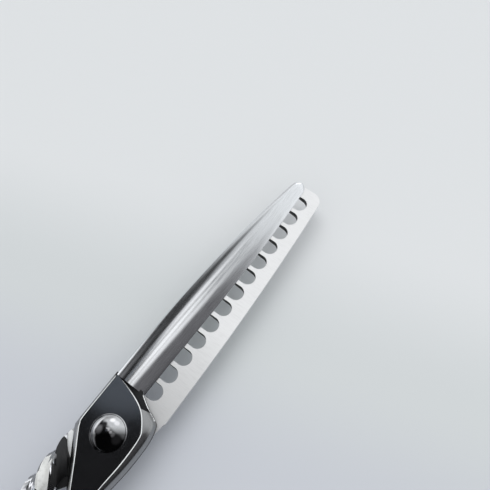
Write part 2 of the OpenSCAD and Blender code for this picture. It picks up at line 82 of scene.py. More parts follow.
camera_data = bpy.data.cameras.new("camera")
camera_data.sensor_width = 36.0
camera_data.lens = 38.4
camera_data.clip_start = 0.005
camera = add_object("camera", camera_data)
axes = Matrix((camera_right, camera_up, camera_back)).transposed()
camera.matrix_world = Matrix.Translation(Vector(camera_place * MM)) @ axes.to_4x4()
bpy.context.scene.camera = camera
print("camera at", [round(float(v), 1) for v in camera_place], "mm")

# %% [markdown]
# ## The table and the light
# The picture is taken in soft daylight: a bright window beyond the top of the frame, a
# strip light over the blade, and a dark ceiling, which is what a mirror-polished flat
# shows as almost black. A sky made from a few soft patches gives the steel those things
# to reflect, and one large lamp makes the soft shadow below the shears.

# %% Helpers for node materials
def new_material(name):
    material = bpy.data.materials.new(name)
    material.use_nodes = True
    material.node_tree.nodes.clear()
    return material, material.node_tree.nodes, material.node_tree.links


def node(nodes, kind, **values):
    """Adds a node and sets its properties, or its input sockets, by name."""
    made = nodes.new(kind)
    for key, value in values.items():
        if hasattr(made, key):
            setattr(made, key, value)
        else:
            made.inputs[key.replace("_", " ")].default_value = value
    return made


def tint_ramp(nodes, stops):
    """A colour ramp with a colour at each position."""
    made = node(nodes, "ShaderNodeValToRGB")
    for position, _ in stops[1:-1]:
        made.color_ramp.elements.new(position)
    for stop, (position, colour) in zip(made.color_ramp.elements, stops):
        stop.position = position
        stop.color = tuple(min(1, c) for c in colour) + (1,)
    return made


def wire(links, rows):
    """Each row links a node's output to another node's input, by name or number."""
    for source, given, target, taken in rows:
        links.new(source.outputs[given], target.inputs[taken])


# A Mix node has sockets for every kind of value. These are the numbers of its colour ones.
MIX_FACTOR, MIX_UNDER, MIX_OVER, MIX_RESULT = 0, 6, 7, 2

# %% Table
# A matt paper of pale bluish grey, with a painted fall-off of light: darker and bluer round the
# pivot and palest beyond the tips, where the window is
table_painted_falloff = ((0.00, (0.560, 0.575, 0.625)), (0.25, (0.620, 0.640, 0.655)),
               (0.55, (0.715, 0.724, 0.742)))
TABLE_HALF = 2.0
table_material, nodes, links = new_material("table_paper")
place = node(nodes, "ShaderNodeTexCoord")
ramp_place = node(nodes, "ShaderNodeMapping", Rotation=(0.0, 0.0, math.radians(-18)),
                  Scale=(9.0, 9.0, 9.0))
gradient = node(nodes, "ShaderNodeTexGradient", gradient_type="LINEAR")
tones = tint_ramp(nodes, table_painted_falloff)
tones.color_ramp.interpolation = "EASE"
fibre = node(nodes, "ShaderNodeTexNoise", Scale=900.0, Detail=6.0, Roughness=0.6)
fibre_bump = node(nodes, "ShaderNodeBump", Strength=0.05, Distance=0.0002)
paper = node(nodes, "ShaderNodeBsdfPrincipled", Roughness=0.75)
output = node(nodes, "ShaderNodeOutputMaterial")
wire(links, [(place, "Object", ramp_place, "Vector"), (ramp_place, "Vector", gradient, "Vector"),
             (gradient, "Fac", tones, "Fac"), (tones, "Color", paper, "Base Color"),
             (place, "Object", fibre, "Vector"), (fibre, "Fac", fibre_bump, "Height"),
             (fibre_bump, "Normal", paper, "Normal"), (paper, "BSDF", output, "Surface")])

table_mesh = bpy.data.meshes.new("table")
table_mesh.from_pydata([(-TABLE_HALF, -TABLE_HALF, 0), (TABLE_HALF, -TABLE_HALF, 0),
                        (TABLE_HALF, TABLE_HALF, 0), (-TABLE_HALF, TABLE_HALF, 0)],
                       [], [(0, 1, 2, 3)])
table_mesh.materials.append(table_material)
table = add_object("table", table_mesh)
print("table:", 2 * TABLE_HALF, "m wide,", len(tones.color_ramp.elements), "tones")

# %% Sky with soft patches
world = bpy.data.worlds.new("studio")
bpy.context.scene.world = world
world.use_nodes = True
nodes, links = world.node_tree.nodes, world.node_tree.links
nodes.clear()
sky_direction = node(nodes, "ShaderNodeTexCoord")
sky_colour = node(nodes, "ShaderNodeRGB")
sky_colour.outputs[0].default_value = (0.015, 0.015, 0.017, 1)
sky_so_far = sky_colour.outputs[0]


def sky_patch(direction, inner_deg, outer_deg, colour):
    """Lays a soft round patch over the sky, full inside inner_deg and gone past outer_deg."""
    global sky_so_far
    lean = node(nodes, "ShaderNodeVectorMath", operation="DOT_PRODUCT")
    lean.inputs[1].default_value = Vector(direction).normalized()
    fade = node(nodes, "ShaderNodeMapRange", interpolation_type="SMOOTHSTEP",
                From_Min=math.cos(math.radians(outer_deg)),
                From_Max=math.cos(math.radians(inner_deg)))
    lay = node(nodes, "ShaderNodeMix", data_type="RGBA")
    lay.inputs[MIX_OVER].default_value = colour + (1,)
    wire(links, [(sky_direction, "Generated", lean, 0), (lean, "Value", fade, "Value"),
                 (fade, "Result", lay, MIX_FACTOR)])
    links.new(sky_so_far, lay.inputs[MIX_UNDER])
    sky_so_far = lay.outputs[MIX_RESULT]


def towards(right, up):
    """Direction that lies so many degrees from the zenith towards +X and towards +Y."""
    polar_angle, azimuth = math.radians(math.hypot(right, up)), math.atan2(up, right)
    flat = math.sin(polar_angle)
    return (flat * math.cos(azimuth), flat * math.sin(azimuth), math.cos(polar_angle))


# %% The room that the steel mirrors
# Pale room beyond the tips
sky_patch((1.0, -0.04, 0.0), 58, 80, (1.00, 1.02, 1.04))
# A broken strip light overhead, which makes the streak along the straight blade
sky_patch(towards(6, -22), 4, 14, (1.05, 1.05, 1.07))
sky_patch(towards(8.5, -4.5), 4, 10, (1.30, 1.30, 1.32))
sky_patch(towards(12, 14), 3, 12, (1.15, 1.15, 1.17))
sky_patch(towards(12.5, 23.5), 1, 6.5, (0.85, 0.85, 0.87))
# A dim wall on the cutting side, and a dark gap between the strip light and the window
sky_patch(towards(-2, -50), 10, 30, (0.13, 0.127, 0.135))
sky_patch(towards(17, 48), 6, 17, (0.04, 0.04, 0.042))
# The dark ceiling, with a slightly paler corner that half of the tang's facet shows
sky_patch(towards(-50, 22), 53.5, 60, (0.010, 0.010, 0.011))
sky_patch(towards(3.7, 17.7), 5.8, 6.4, (0.100, 0.112, 0.130))
# The window, pane by pane from the tips to the handles, and its light low on the walls
sky_patch(towards(62, 72), 12, 28, (0.60, 0.60, 0.61))
sky_patch(towards(61, 5), 6, 16, (1.55, 1.56, 1.60))
sky_patch(towards(58, 33), 4, 15, (1.90, 1.91, 1.95))
sky_patch(towards(-15, 55), 6, 24, (0.26, 0.26, 0.27))
sky_patch(towards(-49, 63), 3, 12, (1.50, 1.50, 1.52))
sky_patch((-0.05, 0.90, -0.43), 34, 44, (1.40, 1.41, 1.44))
sky_patch((-0.58, 0.69, -0.43), 34, 44, (1.40, 1.41, 1.44))
# Only the steel sees these patches. Everything else gets an even, faintly green-blue sky.
mirror_sky = node(nodes, "ShaderNodeBackground", Strength=1.0)
soft_sky = node(nodes, "ShaderNodeBackground", Strength=0.77, Color=(0.97, 1.0, 1.0, 1))
which_ray = node(nodes, "ShaderNodeLightPath")
either_sky = node(nodes, "ShaderNodeMixShader")
sky_output = node(nodes, "ShaderNodeOutputWorld")
links.new(sky_so_far, mirror_sky.inputs["Color"])
wire(links, [(which_ray, "Is Glossy Ray", either_sky, 0), (soft_sky, "Background", either_sky, 1),
             (mirror_sky, "Background", either_sky, 2), (either_sky, 0, sky_output, "Surface")])
print("sky nodes:", len(nodes))

# %% Window light
window_data = bpy.data.lights.new("window", "SUN")
window_data.energy = 1.02
window_data.angle = math.radians(50)
window = add_object("window", window_data)
window_from = Vector((0.35, 0.42, 1.0))
window.rotation_euler = window_from.to_track_quat("Z", "Y").to_euler()
window.visible_glossy = False
bpy.context.scene.view_settings.view_transform = "Standard"
print("window light from", [round(v, 2) for v in window_from.normalized()])

# %% [markdown]
# ## Finishes of steel
# All the bright pieces are steel, and only the last grinding step tells them apart. The
# straight blade and the tangs are buffed to a mirror, the toothed blade's inner face is
# ground flat with fine lines across it, and the handles are bright from a polishing drum.
# One recipe makes them all: a metal whose tint, roughness and tiny bumps follow a noise that is
# stretched along the grinding lines. It can have specks, and a painted shade that fades along a
# direction.

# %% Steel recipe
CLOUD_SHARE = 0.35
SPECK_SIZE = (0.10, 0.16)


def steel(name, colour, roughness, spread, line_scale, bump, line_turn=0, specks=0.0,
          metal=1.0, cloudy=0.08, fade=None):
    """spread is how much the roughness varies; line_scale squeezes the noise into lines,
    which line_turn turns by some degrees. cloudy is how much the tint varies.
    fade is a painted shade: (direction, from, to, share of the colour at the start), in metres."""
    material, nodes, links = new_material(name)
    place = node(nodes, "ShaderNodeTexCoord")
    lines_map = node(nodes, "ShaderNodeMapping", Rotation=(0, 0, math.radians(line_turn)),
                     Scale=line_scale)
    lines = node(nodes, "ShaderNodeTexNoise", Scale=1.0, Detail=5.0, Roughness=0.65)
    cloud = node(nodes, "ShaderNodeTexNoise", Scale=160.0, Detail=4.0, Roughness=0.55)
    mix = node(nodes, "ShaderNodeMath", operation="MULTIPLY_ADD")
    mix.inputs[1].default_value = CLOUD_SHARE
    rough = node(nodes, "ShaderNodeMapRange", From_Min=0.35, From_Max=1.0,
                 To_Min=max(0.02, roughness - spread), To_Max=roughness + spread)
    tint = tint_ramp(nodes, ((0.3, [c * (1 - cloudy) for c in colour]),
                             (0.7, [c * (1 + cloudy) for c in colour])))
    grooves = node(nodes, "ShaderNodeBump", Strength=bump, Distance=0.00002)
    shader = node(nodes, "ShaderNodeBsdfPrincipled", Metallic=metal)
    output = node(nodes, "ShaderNodeOutputMaterial")
    wire(links, [(place, "Object", lines_map, "Vector"), (lines_map, "Vector", lines, "Vector"),
                 (place, "Object", cloud, "Vector"), (cloud, "Fac", mix, 0),
                 (lines, "Fac", mix, 2), (mix, "Value", rough, "Value"),
                 (mix, "Value", tint, "Fac"),
                 (lines, "Fac", grooves, "Height"), (rough, "Result", shader, "Roughness"),
                 (grooves, "Normal", shader, "Normal"), (shader, "BSDF", output, "Surface")])
    colour_out = tint.outputs["Color"]
    if fade:
        spot = node(nodes, "ShaderNodeVectorMath", operation="DOT_PRODUCT")
        spot.inputs[1].default_value = fade[0]
        grow = node(nodes, "ShaderNodeMapRange", From_Min=fade[1], From_Max=fade[2],
                    To_Min=fade[3])
        dim = node(nodes, "ShaderNodeVectorMath", operation="SCALE")
        wire(links, [(place, "Object", spot, 0), (spot, "Value", grow, "Value"),
                     (grow, "Result", dim, "Scale")])
        links.new(colour_out, dim.inputs[0])
        colour_out = dim.outputs["Vector"]
    if specks:
        dust = node(nodes, "ShaderNodeTexVoronoi", Scale=1500.0, Randomness=1.0)
        small = node(nodes, "ShaderNodeMapRange", From_Min=SPECK_SIZE[0],
                     From_Max=SPECK_SIZE[1], To_Min=specks, To_Max=0.0)
        lay = node(nodes, "ShaderNodeMix", data_type="RGBA")
        lay.inputs[MIX_OVER].default_value = (0.9, 0.9, 0.9, 1)
        wire(links, [(place, "Object", dust, "Vector"), (dust, "Distance", small, "Value"),
                     (small, "Result", lay, MIX_FACTOR)])
        links.new(colour_out, lay.inputs[MIX_UNDER])
        colour_out = lay.outputs[MIX_RESULT]
    links.new(colour_out, shader.inputs["Base Color"])
    return material


# %% The steels and the bronze
blade_polish = steel("blade_polish", (0.72, 0.735, 0.75), 0.17, 0.05, (300, 5000, 300), 0.05,
                     cloudy=0.12)
tang_mirror = steel("tang_mirror", (0.60, 0.61, 0.63), 0.10, 0.03, (900, 900, 900), 0.05,
                    specks=0.25)
# Painted shade: the dome's colour is darkened on the side away from the tips, and the comb's near
# its heel, where the tang shades it
dome_mirror = steel("dome_mirror", (0.50, 0.505, 0.515), 0.10, 0.03, (900, 900, 900), 0.05,
                    fade=((0.81, 0.59, 0), -0.0004, 0.0010, 0.15))
# Duller steel whose darker colour is a painted dim reflection, for the tang's bevel and one side
# of the flutes
painted_dim_reflection = steel("painted_dim_reflection", (0.28, 0.283, 0.285), 0.22, 0.06, (900, 900, 900), 0.1)
comb_satin = steel("comb_satin", (0.78, 0.775, 0.785), 0.5, 0.08, (5200, 420, 900), 0.5,
                   line_turn=12, metal=0.15, fade=((1, 0, 0), 0.004, 0.030, 0.61))
# Matt white: a painted highlight along the tang's ridge and the neck's bevel, and wear with a
# painted highlight on the ride plane beside the tang
wear_and_painted_highlight = steel("wear_and_painted_highlight", (0.86, 0.87, 0.88), 0.45, 0.1, (900, 900, 900), 0.1, metal=0.1)
# A painted bright reflection for the second flute of the toothed half's shank
painted_bright_reflection = steel("painted_bright_reflection", (0.60, 0.60, 0.59), 0.4, 0.1, (1500, 1500, 250), 0.3,
                    metal=0.3, cloudy=0.3)
# Near black, standing in for shade: painted shade in the notches, the scoop and the tang's rim, a
# painted shadow on the ride plane and a painted dark reflection in the first flute
painted_shade_black = steel("painted_shade_black", (0.012, 0.012, 0.013), 0.6, 0.1, (400, 400, 3000), 0.3,
                    metal=0.0)
handle_bright = steel("handle_bright", (0.74, 0.75, 0.77), 0.12, 0.05, (700, 700, 700), 0.1)
spring_grey = steel("spring_grey", (0.42, 0.43, 0.46), 0.32, 0.08, (900, 900, 900), 0.2)
bush_bronze = steel("bush_bronze", (0.68, 0.47, 0.24), 0.30, 0.08, (600, 600, 4000), 0.25)
print("materials so far:", len(bpy.data.materials))

# %% [markdown]
# ## Rubber and plastic
# The sizing rings and the bumper are soft black rubber, and the washer between the halves
# is a slippery white plastic. Neither is a flat colour: fine pores roughen the surface, and
# broader marks from handling change its tint and gloss a little.

# %% Rubber and plastic
def soft(name, colour, roughness, grain):
    """grain is how deep the pores look."""
    material, nodes, links = new_material(name)
    place = node(nodes, "ShaderNodeTexCoord")
    pores = node(nodes, "ShaderNodeTexNoise", Scale=2600.0, Detail=5.0, Roughness=0.6)
    marks = node(nodes, "ShaderNodeTexNoise", Scale=240.0, Detail=3.0)
    tint = tint_ramp(nodes, ((0.35, [c * 0.8 for c in colour]),
                             (0.7, [c * 1.25 for c in colour])))
    rough = node(nodes, "ShaderNodeMapRange", To_Min=roughness - 0.1, To_Max=roughness + 0.1)
    relief = node(nodes, "ShaderNodeBump", Strength=grain, Distance=0.00004)
    shader = node(nodes, "ShaderNodeBsdfPrincipled")
    output = node(nodes, "ShaderNodeOutputMaterial")
    wire(links, [(place, "Object", pores, "Vector"), (place, "Object", marks, "Vector"),
                 (marks, "Fac", tint, "Fac"), (marks, "Fac", rough, "Value"),
                 (pores, "Fac", relief, "Height"), (tint, "Color", shader, "Base Color"),
                 (rough, "Result", shader, "Roughness"), (relief, "Normal", shader, "Normal"),
                 (shader, "BSDF", output, "Surface")])
    return material


black_rubber = soft("black_rubber", (0.035, 0.036, 0.038), 0.6, 0.35)
glide_white = soft("glide_white", (0.8, 0.8, 0.78), 0.4, 0.1)
print("materials:", len(bpy.data.materials))

# %% [markdown]
# ## Making meshes from sections
# A blade is a row of cross sections, each a little different from the last, with a skin
# between them. The same helper makes the blades, the twisted shanks and the finger rest.
# Closed skins can then be joined or cut with a boolean, as a maker would weld and drill.

# %% Skins over sections
def make_object(name, points, faces):
    mesh = bpy.data.meshes.new(name)
    mesh.from_pydata([tuple(np.array(p) * MM) for p in points], [], faces)
    return add_object(name, mesh)


def face_outwards(made):
    work = bmesh.new()
    work.from_mesh(made.data)
    bmesh.ops.recalc_face_normals(work, faces=work.faces)
    work.to_mesh(made.data)
    work.free()
    return made


def skin(name, rows):
    """Closed skin over a row of sections with as many points each."""
    rows = [np.array(row) for row in rows]
    count = len(rows[0])
    faces = [list(range(count)), [len(rows) * count - 1 - i for i in range(count)]]
    for j in range(len(rows) - 1):
        for i in range(count):
            a, b = j * count + i, j * count + (i + 1) % count
            faces.append([a, a + count, b + count, b])
    return face_outwards(make_object(name, np.vstack(rows), faces))


# %% Welding, cutting and simple cutters
def combine(base, other, how):
    """Boolean of two closed meshes. It uses up the second one."""
    step = base.modifiers.new("step", "BOOLEAN")
    step.operation = how
    step.solver = "MANIFOLD"
    step.object = other
    bpy.context.view_layer.update()
    done = base.evaluated_get(bpy.context.evaluated_depsgraph_get())
    mesh = bpy.data.meshes.new_from_object(done)
    base.modifiers.clear()
    base.data = mesh
    bpy.data.objects.remove(other)
    return base


def weld(base, other):
    return combine(base, other, "UNION")


def cut(base, other):
    return combine(base, other, "DIFFERENCE")


def cylinder(name, x, y, z0, z1, radius, sides=96, key=None):
    """Upright round bar, with two flats at key millimetres from its axis where that is set."""
    angles = [2 * math.pi * i / sides for i in range(sides)]
    ring = [(radius * math.cos(a), radius * math.sin(a)) for a in angles]
    if key:
        ring = [(max(-key, min(key, px)), py) for px, py in ring]
    return skin(name, [[(x + px, y + py, z) for px, py in ring] for z in (z0, z1)])


def prism(name, outline, z0, z1):
    return skin(name, [[(x, y, z) for x, y in outline] for z in (z0, z1)])


# %% Finish a piece
MERGE_DIST = 0.000002
CUT_DIST = 0.0000001


def finish_piece(made, body, material, nodes_replaced, sharp_deg=24, paints=(), cuts=()):
    """Smooth shading, sharp where faces meet at more than sharp_deg. Each paint is another
    material and a test of a face's centre (in millimetres) and normal. Large flat faces
    are split at each x in cuts, so that a paint can end there."""
    mesh = made.data
    mesh.materials.clear()
    for each in [material] + [paint[0] for paint in paints]:
        mesh.materials.append(each)
    work = bmesh.new()
    work.from_mesh(mesh)
    bmesh.ops.dissolve_degenerate(work, dist=MERGE_DIST, edges=work.edges)
    for x in cuts:
        bmesh.ops.bisect_plane(work, geom=work.verts[:] + work.edges[:] + work.faces[:],
                               plane_co=(x * MM, 0, 0), plane_no=(1, 0, 0), dist=CUT_DIST)
    limit = math.radians(sharp_deg)
    for face in work.faces:
        face.smooth = True
        face.material_index = 0
        middle = face.calc_center_median() / MM
        for index, (_, test) in enumerate(paints):
            if test(middle, face.normal):
                face.material_index = index + 1
    for side in work.edges:
        pair = side.link_faces
        side.smooth = (len(pair) == 2 and pair[0].material_index == pair[1].material_index
                       and side.calc_face_angle(0) < limit)
    work.to_mesh(mesh)
    work.free()
    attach(made, body)
    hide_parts(*nodes_replaced)
    print(made.name, len(mesh.polygons), "faces")


# %% Curves
def ease(t):
    """Goes smoothly from 0 to 1 while t does."""
    t = max(0.0, min(1.0, t))
    return t * t * (3 - 2 * t)


def through(points, steps):
    """Smooth curve through a few points."""
    p = [np.array(q, float) for q in points]
    made = []
    for i in range(len(p) - 1):
        a, b, c, d = p[max(i - 1, 0)], p[i], p[i + 1], p[min(i + 2, len(p) - 1)]
        for k in range(steps):
            t = k / steps
            made.append(0.5 * (2 * b + (c - a) * t + (2 * a - 5 * b + 4 * c - d) * t * t
                               + (3 * b - a - 3 * c + d) * t ** 3))
    made.append(p[-1])
    return made


# %% [markdown]
# ## The straight blade
# Convex ground: from the cutting edge the outside rises steeply, rolls over a broad crown
# and drops to the spine, where a narrow bevel catches the light. The inside is ground a
# little hollow, so only the edge and the ride touch the other blade.

# %% Sizes of the straight blade
tip_x = node_box("straight_blade")[1][0]
heel_x = 9.4
spine_y = node_box("straight_blade")[1][1]
spine_fall = 4.4
spine_bend_x = 17.0
edge_y = 0.5
edge_belly = 0.65
belly_power = 1.25
crown_heel = 2.45
crown_tip = 1.25
tip_round = 1.8
hollow_depth = 0.12
hollow_power = 0.8
spine_bevel = 0.07
crown_at = 0.6
fall_to_edge = 0.92
fall_to_spine = 0.5
nose_at = 0.42
nose_height = 0.45
nose_least = 0.004
spine_height = 0.3
print("straight blade:", round(float(tip_x - heel_x), 1), "mm from heel to tip")


# %% Straight blade, section by section
def along(x):
    """0 at the heel and 1 at the tip."""
    return (x - heel_x) / (tip_x - heel_x)


def spine(x):
    return spine_y - spine_fall * (max(0.0, x - spine_bend_x) / (tip_x - spine_bend_x)) ** 2


def edge(x):
    return -edge_y - edge_belly * math.sin(math.pi * max(0.0, along(x)) ** belly_power)


def grind(u):
    """Height of the convex grind from the cutting edge (0) to the spine (1), as a share."""
    if u < crown_at:
        return 1 - fall_to_edge * ((crown_at - u) / crown_at) ** 2
    return 1 - fall_to_spine * ((u - crown_at) / (1 - crown_at)) ** 2


def straight_section(x):
    into_tip = max(0.0, x - (tip_x - tip_round)) / tip_round
    full = math.sqrt(max(nose_least, 1 - into_tip ** 2))
    middle = edge(x) + nose_at * (spine(x) - edge(x))
    y0 = middle + (edge(x) - middle) * full
    y1 = middle + (spine(x) - middle) * full
    crown = crown_heel + (crown_tip - crown_heel) * along(x)
    crown *= nose_height + (1 - nose_height) * full
    across = list(np.linspace(0, 1 - spine_bevel, 34))
    top = [(x, y0 + (y1 - y0) * u, seam_z + crown * grind(u)) for u in across]
    top.append((x, y1, seam_z + crown * spine_height))
    hollow = hollow_depth * full
    under = [(x, y0 + (y1 - y0) * u, seam_z + hollow * math.sin(math.pi * u) ** hollow_power)
             for u in np.linspace(1, 0, 13)]
    return top + under


straight_stations = [heel_x + (tip_x - tip_round - heel_x) * i / 130 for i in range(131)]
straight_stations += [tip_x - tip_round + tip_round * math.sin(math.radians(a))
                      for a in np.linspace(6, 90, 15)]
straight_half = skin("straight_half", [straight_section(x) for x in straight_stations])

# %% [markdown]
# ## The tangs
# Behind the heel each half widens into a tang round the pivot. Its outside is a flat,
# leaf-shaped facet with a crisp ridge line all round, and a rounded bevel runs down from
# the ridge to an upright rim. Rays from one centre find where they cross the two outlines,
# which gives matching rings of points for the skin.

# %% Tang outlines
tang_side_y = 7.15
leaf_r = 5.55
bevel_w = 0.95
tang_rim_h = 0.8
tang_t = 2.9
tang_top_z = seam_z + tang_t
tang_low_z = seam_z - tang_t
weld_back = 15.0
neck_t = 1.25
ridge_w = 0.15

leaf = through([(heel_x, spine_y - bevel_w - 0.1), (heel_x - 0.95, 1.8), (6.9, -2.1),
                (4.4, 0.95 - leaf_r), (2.4, 0.1 - leaf_r), (-2.8, -leaf_r), (-8.1, 0.4 - leaf_r),
                (-weld_back, 0.6 - leaf_r)], 10)
leaf += through([(-weld_back, -3.4), (-11.3, -0.9), (-6.8, 2.2), (-3.2, 4.8),
                 (-1.8, spine_y - bevel_w - 0.35), (-0.2, spine_y - bevel_w),
                 (heel_x, spine_y - bevel_w)], 10)
foot = through([(heel_x, spine_y), (heel_x - 0.5, 3.2), (8.25, -1.9), (7, -5.4), (5.8, -6.5),
                (2.6, -tang_side_y), (-3, -tang_side_y + 0.1), (-8.5, -6.4),
                (-weld_back, -5.5)], 6)
foot += [(-weld_back, -2), (-12, 0.1), (-7.5, 3.2), (-3.4, 6.5), (-2.5, spine_y)]
comb_foot = [(heel_x + 1, 1.9), (heel_x + 1, -7.35), (7.6, -7.15), (2.25, -5.9),
             (-1, -5.75), (-3.6, -5.2), (-8, -2), (-12, 1.2), (-weld_back, 2.9),
             (-weld_back, 6.6), (-8.7, 6.8), (-4.7, 6.9), (4, spine_y - 0.1), (8, 6.2)]
comb_facet = [(8.8, 0.4), (8.4, -5.8), (5.5, -5.3), (2, -5.0), (-1.7, -4.6), (-5.4, -2.4),
              (-9.1, 0.4), (-weld_back, 4.6), (-weld_back, 5.5), (-8.5, 5.6), (-4, 5.8),
              (3, 5.7), (7, 4.9)]
print("tang outlines:", len(leaf), "points round the facet,", len(foot), "round the foot")


# %% Tang maker
tang_middle = (-1.8, -0.8)
TANG_RAYS = 240
# How a tang's bevel rises: share of the way from the foot to the facet, share of its height
bevel_rise = ((0, 0), (0.08, 0.3), (0.25, 0.56), (0.5, 0.77), (0.75, 0.89))
# The strip along the ridge: distance back from the facet, and drop below it
ridge_strip = ((ridge_w + 0.05, 0.075), (ridge_w, 0.055), (0.0, 0.006), (-0.03, 0.0))


def turns_right(a, b, c):
    return (b[0] - a[0]) * (c[1] - a[1]) - (b[1] - a[1]) * (c[0] - a[0]) <= 0


def hull(outline):
    """Convex outline round some points, anticlockwise."""
    pts = sorted((float(x), float(y)) for x, y in outline)

    def half(points):
        chain = []
        for p in points:
            while len(chain) > 1 and turns_right(chain[-2], chain[-1], p):
                chain.pop()
            chain.append(p)
        return chain[:-1]
    return half(pts) + half(pts[::-1])


def ray_ring(outline, centre, angles):
    """Where rays from centre leave a closed outline, one point for each angle."""
    pts = [np.array(p, float) - centre for p in outline]
    found = []
    for angle in angles:
        ray = np.array([math.cos(angle), math.sin(angle)])
        best = 0.0
        for p, q in zip(pts, pts[1:] + pts[:1]):
            step = q - p
            det = ray[0] * -step[1] + ray[1] * step[0]
            if abs(det) < 1e-12:
                continue
            reach = (p[0] * -step[1] + p[1] * step[0]) / det
            share = (ray[0] * p[1] - ray[1] * p[0]) / det
            if reach > best and -1e-9 <= share <= 1 + 1e-9:
                best = reach
        found.append(centre + ray * best)
    return found


def tang(name, foot_outline, facet_outline, up):
    """up is 1 for a tang above the ride plane and -1 for one below it."""
    centre = np.array([tang_middle[0], tang_middle[1] * up])
    corners = [math.atan2(y - centre[1], x - centre[0]) for x, y in hull(foot_outline)]
    angles = sorted(set(list(np.linspace(-math.pi, math.pi, TANG_RAYS, endpoint=False)) + corners))
    low = ray_ring(hull(foot_outline), centre, angles)
    high = ray_ring(facet_outline, centre, angles)
    face = seam_z + up * tang_t
    rim = seam_z + up * tang_rim_h
    rise = tang_t - tang_rim_h
    rows = [[(*a, seam_z) for a in low]]
    for share, lift in bevel_rise:
        rows.append([(*(a + (b - a) * share), rim + up * lift * rise) for a, b in zip(low, high)])
    for back, drop_z in ridge_strip:
        rows.append([(*(b + (a - b) * min(0.2, back / max(1e-6, np.linalg.norm(a - b)))),
                      face - up * drop_z) for a, b in zip(low, high)])
    return skin(name, rows)


# %% The straight half's tang and neck
neck_curve = [tuple(p) for p in through([(heel_x, -edge_y), (8.85, -1.4), (7.8, -3.4),
                                         (7, -5.4)], 6)]
neck_lead = [(2, spine_y - 0.05), (heel_x + 0.5, spine_y - 0.05), (heel_x + 0.5, 0)]
neck_bevel = 0.13
neck_inner = [(x - neck_bevel, y + neck_bevel / 2) for x, y in neck_curve]
neck_end = [(4, -4)]
neck_rows = [[(x, y, z) for x, y in neck_lead + neck_curve + neck_end]
             for z in (seam_z, seam_z + neck_t - neck_bevel)]
neck_rows.append([(x, y, seam_z + neck_t) for x, y in neck_lead + neck_inner + neck_end])
scoop = [(x + ridge_w, y) for x, y in leaf[:21]] + [(7.6, -4.3), (heel_x + 3, -4.3),
                                                    (heel_x + 3, spine_y - bevel_w)]
front_tang = cut(tang("front_tang", foot, leaf, 1),
                 prism("scoop", scoop, seam_z + neck_t, tang_top_z + 1))
weld(straight_half, front_tang)
weld(straight_half, skin("neck", neck_rows))
print("straight half with its tang:", len(straight_half.data.polygons), "faces")

# %% [markdown]
# ## The twisted shanks
# The shanks look like a four-sided bar, slightly hollow on each side and twisted by a full
# turn every 20 mm. A section that turns as it moves along gives the slanting ridges, and
# the far side fades to nothing where the shank runs into its tang.

# %% Sizes of the rings and shanks
ring_h = 6.2
ring_w = 4.9
ring_r = 10.5
ring_mid_r = ring_r + ring_w / 2
finger_box, thumb_box = node_box("finger_ring_insert"), node_box("thumb_ring_insert")
finger_ring_x = -(finger_box[0][0] + finger_box[1][0]) / 2
thumb_ring_x = -(thumb_box[0][0] + thumb_box[1][0]) / 2
finger_ring_y = (finger_box[0][1] + finger_box[1][1]) / 2
thumb_ring_y = (thumb_box[0][1] + thumb_box[1][1]) / 2
grip_shift_y = (finger_ring_y + thumb_ring_y) / 2
ring_y = (finger_ring_y - thumb_ring_y) / 2
join_angle = 35.0
shank_y = 3.7
shank_r = 3.0
shank_flute_r = 2.3
ridge_share = 0.14
flute_share = 0.56
flute_power = 0.85
twist_deg = 18.0
twist_start = 4.7
shank_start_x = -3.8
shank_bend_x = -12.0
shank_drop_x = -18.0
shank_clear = 0.12
flute_grows = 5.0
flute_least = 0.15
drop = seam_z - ring_h / 2
print("rings:", round(float(finger_ring_x), 1), "and", round(float(thumb_ring_x), 1),
      "mm behind the pivot")


# %% Shank maker
def join_x(ring_x):
    """Where a shank ends in its ring."""
    return -ring_x + ring_mid_r * math.cos(math.radians(join_angle))


def bar_y(x, ring_x):
    end_y = ring_y - ring_mid_r * math.sin(math.radians(join_angle))
    share = max(0.0, shank_bend_x - x) / (shank_bend_x - join_x(ring_x))
    return shank_y + (end_y - shank_y) * share ** 2


def grip_y(side, y):
    """side is 1 for the half with the thumb ring and -1 for the half with the finger ring."""
    return grip_shift_y - side * y


def bar_z(x, ring_x):
    return seam_z - drop * ease((shank_drop_x - x) / (shank_drop_x - join_x(ring_x)))


def flute_radius(turn):
    """Radius of the section at an angle from its nearest corner: narrow ridge, hollow side."""
    t = abs((turn + 45) % 90 - 45) / 45
    deep = min(1.0, max(0.0, t - ridge_share) / flute_share) ** flute_power
    return shank_r - (shank_r - shank_flute_r) * deep


def bar_section(x, side, ring_x, start):
    own = (tang_t - shank_clear) / shank_r
    own += (1 - own) * ease((shank_bend_x - x) / flute_grows)
    far = flute_least + (1 - flute_least) * ease((start - x) / flute_grows)
    points = []
    for k in range(64):
        turn = 360 * k / 64
        angle = math.radians(turn - twist_deg * (x + twist_start))
        y, z = flute_radius(turn) * math.cos(angle), flute_radius(turn) * math.sin(angle)
        z *= min(1.0, own) if z * side > 0 else far
        points.append((x, grip_y(side, bar_y(x, ring_x)) + y, bar_z(x, ring_x) + z))
    return points


def bar(name, x0, x1, side, ring_x, start, step=0.3):
    count = int(math.ceil((x0 - x1) / step))
    return skin(name, [bar_section(x0 + (x1 - x0) * i / count, side, ring_x, start)
                       for i in range(count + 1)])


def grown(outline, by):
    """The outline moved outwards by a clearance."""
    pts = [np.array(p, float) for p in hull(outline)]
    made = []
    for before, here, after in zip(pts[-1:] + pts[:-1], pts, pts[1:] + pts[:1]):
        n1 = np.array([here[1] - before[1], before[0] - here[0]])
        n2 = np.array([after[1] - here[1], here[0] - after[0]])
        n1, n2 = n1 / np.linalg.norm(n1), n2 / np.linalg.norm(n2)
        made.append(here + (n1 + n2) * by / (1 + float(n1 @ n2)))
    return made


